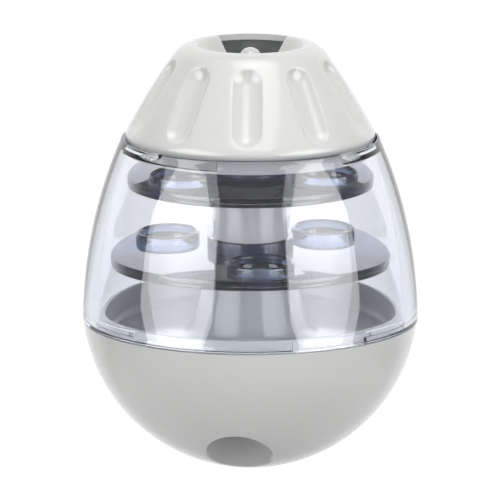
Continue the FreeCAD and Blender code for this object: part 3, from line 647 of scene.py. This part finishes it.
# %% Hole and lugs of the floor tray
OUTLET_R = 12.6
OUTLET_REACH = 35.4
OUTLET_TURN = math.radians(-96.5)
OUTLET_X = OUTLET_REACH * math.cos(OUTLET_TURN)
OUTLET_Y = OUTLET_REACH * math.sin(OUTLET_TURN)
PLUG_HALF = 6
LUG_REACH = 1.4
LUG_ROOT = 1
plug_low = TRAY_FLOOR - PLUG_HALF
plug_high = TRAY_FLOOR + PLUG_HALF
plug_outline = [(0, plug_low), (OUTLET_R, plug_low), (OUTLET_R, plug_high), (0, plug_high)]
plug = turned("floor_hole", plug_outline, HOLE_SEGMENTS, (OUTLET_X, OUTLET_Y))
combine(tray, plug, "DIFFERENCE")
lug = sector_block("lug", RIM_R - LUG_ROOT, RIM_R + LUG_REACH, BASE_LUG_LOW,
                   BASE_LUG_LOW + LUG_HEIGHT, LUG_TURN, LUG_ANGLE)
combine(tray, ring_of(lug, LUG_COUNT, 0, GREY_ABS), "UNION")
finish_piece(tray, "floor_tray", "base", GREY_ABS)

# %% [markdown]
# The egg stands on a floor that is white to the eye. It could be white paint, but
# then its tone would follow the lamps. So it glows, and a share of real light
# keeps the egg's soft shadow. For the light that a matt surface gathers it is a
# plain grey floor, because the lamps give that light. A ray that has met a matt
# surface is known by its diffuse depth. Reflections and looks through clear
# plastic don't see the floor; the surroundings stand in for it there.

# %% White floor
SHADOW_SHARE = 0.15
WHITE_LEVEL = 1.2
FLOOR_PAINT = 0.5
FLOOR_SIZE = 8.0
FLOOR_DROP = 0.05 * MM


def before_matt_bounce(tree):
    """A value of 1 for a ray that has met nothing matt yet, and otherwise 0."""
    path = add(tree, "ShaderNodeLightPath")
    return add(tree, "ShaderNodeMath", {0: path.outputs["Diffuse Depth"], 1: 0.5},
               operation="LESS_THAN").outputs[0]


floor_material, tree = new_material("white_floor")
painted = add(tree, "ShaderNodeBsdfDiffuse", {"Color": (FLOOR_PAINT, FLOOR_PAINT, FLOOR_PAINT, 1)})
glow = add(tree, "ShaderNodeEmission", {"Color": (1, 1, 1, 1), "Strength": WHITE_LEVEL})
share = add(tree, "ShaderNodeMath", {0: before_matt_bounce(tree), 1: 1 - SHADOW_SHARE},
            operation="MULTIPLY")
mixed = add(tree, "ShaderNodeMixShader", {
    0: share.outputs[0], 1: painted.outputs[0], 2: glow.outputs[0],
})
close_material(tree, mixed.outputs[0])

corner = FLOOR_SIZE / 2
square = ((-corner, -corner), (corner, -corner), (corner, corner), (-corner, corner))
floor_mesh = bpy.data.meshes.new("floor")
floor_mesh.from_pydata([(x, y, -FLOOR_DROP) for x, y in square], [], [(0, 1, 2, 3)])
floor_mesh.materials.append(floor_material)
floor = new_object("floor", floor_mesh)
floor.visible_glossy = False
floor.visible_transmission = False
print("floor:", FLOOR_SIZE, "m square")

# %% [markdown]
# Clear plastic shows what surrounds it. Looked at straight, also through the
# barrel, the surroundings are white. A first reflection sees a bright sweep
# behind and below, and a dim room on the camera's side: that is why the edges of
# the discs look almost black. A ray turned back inside the barrel's own wall sees
# white again. The lamps' light is stopped by the clear plastic in this renderer,
# so matt pieces inside the barrel gather more light from the room than those
# outside.

# %% Surroundings
AMBIENT = 0.3
INNER_AMBIENT = 1.3
DIM_ROOM = 0.12
SWEEP = 1.1
INNER_SWEEP = 1.9
FIRST_REFLECTION = 1.0
THROUGH_WALL = 2.0
world = bpy.data.worlds.new("studio")
world.use_nodes = True
bpy.context.scene.world = world
tree = world.node_tree
tree.nodes.clear()
direction = add(tree, "ShaderNodeTexCoord").outputs["Generated"]
axes = add(tree, "ShaderNodeSeparateXYZ", {"Vector": direction})
path = add(tree, "ShaderNodeLightPath")
through = add(tree, "ShaderNodeMath", {0: path.outputs["Transmission Depth"], 1: 0.5},
              operation="GREATER_THAN")
sweep = add(tree, "ShaderNodeMix", {"Factor": through.outputs[0], "A": SWEEP, "B": INNER_SWEEP})
behind = add(tree, "ShaderNodeMapRange", {
    "Value": axes.outputs["Y"], "From Min": 0.3, "From Max": 0.8, "To Min": DIM_ROOM,
    "To Max": sweep.outputs[0],
}, interpolation_type="SMOOTHSTEP")
below = add(tree, "ShaderNodeMapRange", {
    "Value": axes.outputs["Z"], "From Min": -0.25, "From Max": -0.6, "To Min": 0.0, "To Max": 1.0,
}, interpolation_type="SMOOTHSTEP")
room = add(tree, "ShaderNodeMath", {0: behind.outputs["Result"], 1: below.outputs["Result"]},
           operation="MAXIMUM")
reflected = add(tree, "ShaderNodeMath", {
    0: path.outputs["Glossy Depth"], 1: FIRST_REFLECTION, 2: 0.5,
}, operation="COMPARE")
in_wall = add(tree, "ShaderNodeMath", {
    0: path.outputs["Transmission Depth"], 1: THROUGH_WALL, 2: 0.5,
}, operation="COMPARE")
dim_share = add(tree, "ShaderNodeMath", {0: reflected.outputs[0], 1: in_wall.outputs[0]},
                operation="SUBTRACT", use_clamp=True)
seen = add(tree, "ShaderNodeMix", {"Factor": dim_share.outputs[0], "A": 1.0, "B": room.outputs[0]})
upper = add(tree, "ShaderNodeMix", {
    "Factor": below.outputs["Result"], "A": INNER_AMBIENT, "B": AMBIENT,
})
matt = add(tree, "ShaderNodeMix", {"Factor": through.outputs[0], "A": AMBIENT, "B": upper.outputs[0]})
level = add(tree, "ShaderNodeMix", {
    "Factor": before_matt_bounce(tree), "A": matt.outputs[0], "B": seen.outputs[0],
})
sky = add(tree, "ShaderNodeBackground", {"Color": (1, 1, 1, 1), "Strength": level.outputs[0]})
add(tree, "ShaderNodeOutputWorld", {"Surface": sky.outputs[0]})
print("surroundings:", len(tree.nodes), "nodes")

# %% [markdown]
# Two eight-sided softboxes stand left and right of the camera and one hangs above,
# as the reflections on the barrel show. Each is a pair: a lamp that gives the
# light, and a panel that reflections and looks through plastic see, so that the
# brightness of a highlight can be set apart from the level of light. A panel glows
# a little more in its middle, where the bulb is, and has a level of its own for
# the matt pieces inside the barrel.

# %% Softboxes
INNER_GLOW = 4.6
AIM = Vector((0, 0, 85 * MM))
PANEL_BEHIND = 0.01
PANEL_SIDES = 8


def panel_material(name, middle, edge, half_width):
    """A white glow that falls from the middle of the panel to its edge."""
    material, tree = new_material(name)
    place = add(tree, "ShaderNodeTexCoord").outputs["Object"]
    reach = add(tree, "ShaderNodeVectorMath", {0: place}, operation="LENGTH").outputs["Value"]
    fall = add(tree, "ShaderNodeMapRange", {
        "Value": reach, "From Max": half_width, "To Min": middle, "To Max": edge,
    }, interpolation_type="SMOOTHSTEP")
    level = add(tree, "ShaderNodeMix", {
        "Factor": before_matt_bounce(tree), "A": INNER_GLOW, "B": fall.outputs["Result"],
    })
    light = add(tree, "ShaderNodeEmission", {"Color": (1, 1, 1, 1), "Strength": level.outputs[0]})
    close_material(tree, light.outputs[0])
    return material


def softbox(name, turn, lift, reach, width, height, power, middle, edge):
    """A lamp and a panel that face the egg from a turn to the right and a lift above level."""
    turn = math.radians(turn)
    lift = math.radians(lift)
    level = math.cos(lift)
    way = Vector((math.sin(turn) * level, -math.cos(turn) * level, math.sin(lift)))
    spot = AIM + way * reach
    facing = (-way).to_track_quat("-Z", "Y").to_euler()
    data = bpy.data.lights.new(name, "AREA")
    data.shape = "ELLIPSE"
    data.size = width
    data.size_y = height
    data.energy = power
    lamp = new_object(name, data)
    lamp.location = spot
    lamp.rotation_euler = facing
    lamp.visible_glossy = False
    lamp.visible_transmission = False
    lamp.visible_camera = False
    half_side = math.pi / PANEL_SIDES
    rim = 0.5 / math.cos(half_side)
    turns = [half_side + 2 * half_side * k for k in range(PANEL_SIDES)]
    corners = [(width * rim * math.cos(t), height * rim * math.sin(t), 0) for t in turns]
    mesh = bpy.data.meshes.new(name + "_panel")
    mesh.from_pydata(corners, [], [range(PANEL_SIDES)])
    mesh.materials.append(panel_material(name + "_glow", middle, edge, width / 2))
    panel = new_object(name + "_panel", mesh)
    panel.location = spot + way * PANEL_BEHIND
    panel.rotation_euler = facing
    panel.visible_camera = False
    panel.visible_diffuse = False
    panel.visible_shadow = False
    print(name, power, "W")


softbox("left_softbox", turn=-52, lift=5.5, reach=1.0, width=1.04, height=0.96, power=5.5,
        middle=6.0, edge=4.5)
softbox("right_softbox", turn=52.5, lift=5.5, reach=1.0, width=1.0, height=0.96, power=5.5,
        middle=6.0, edge=4.5)
softbox("top_softbox", turn=12, lift=70, reach=1.06, width=0.85, height=1.15, power=8,
        middle=5.6, edge=2.4)
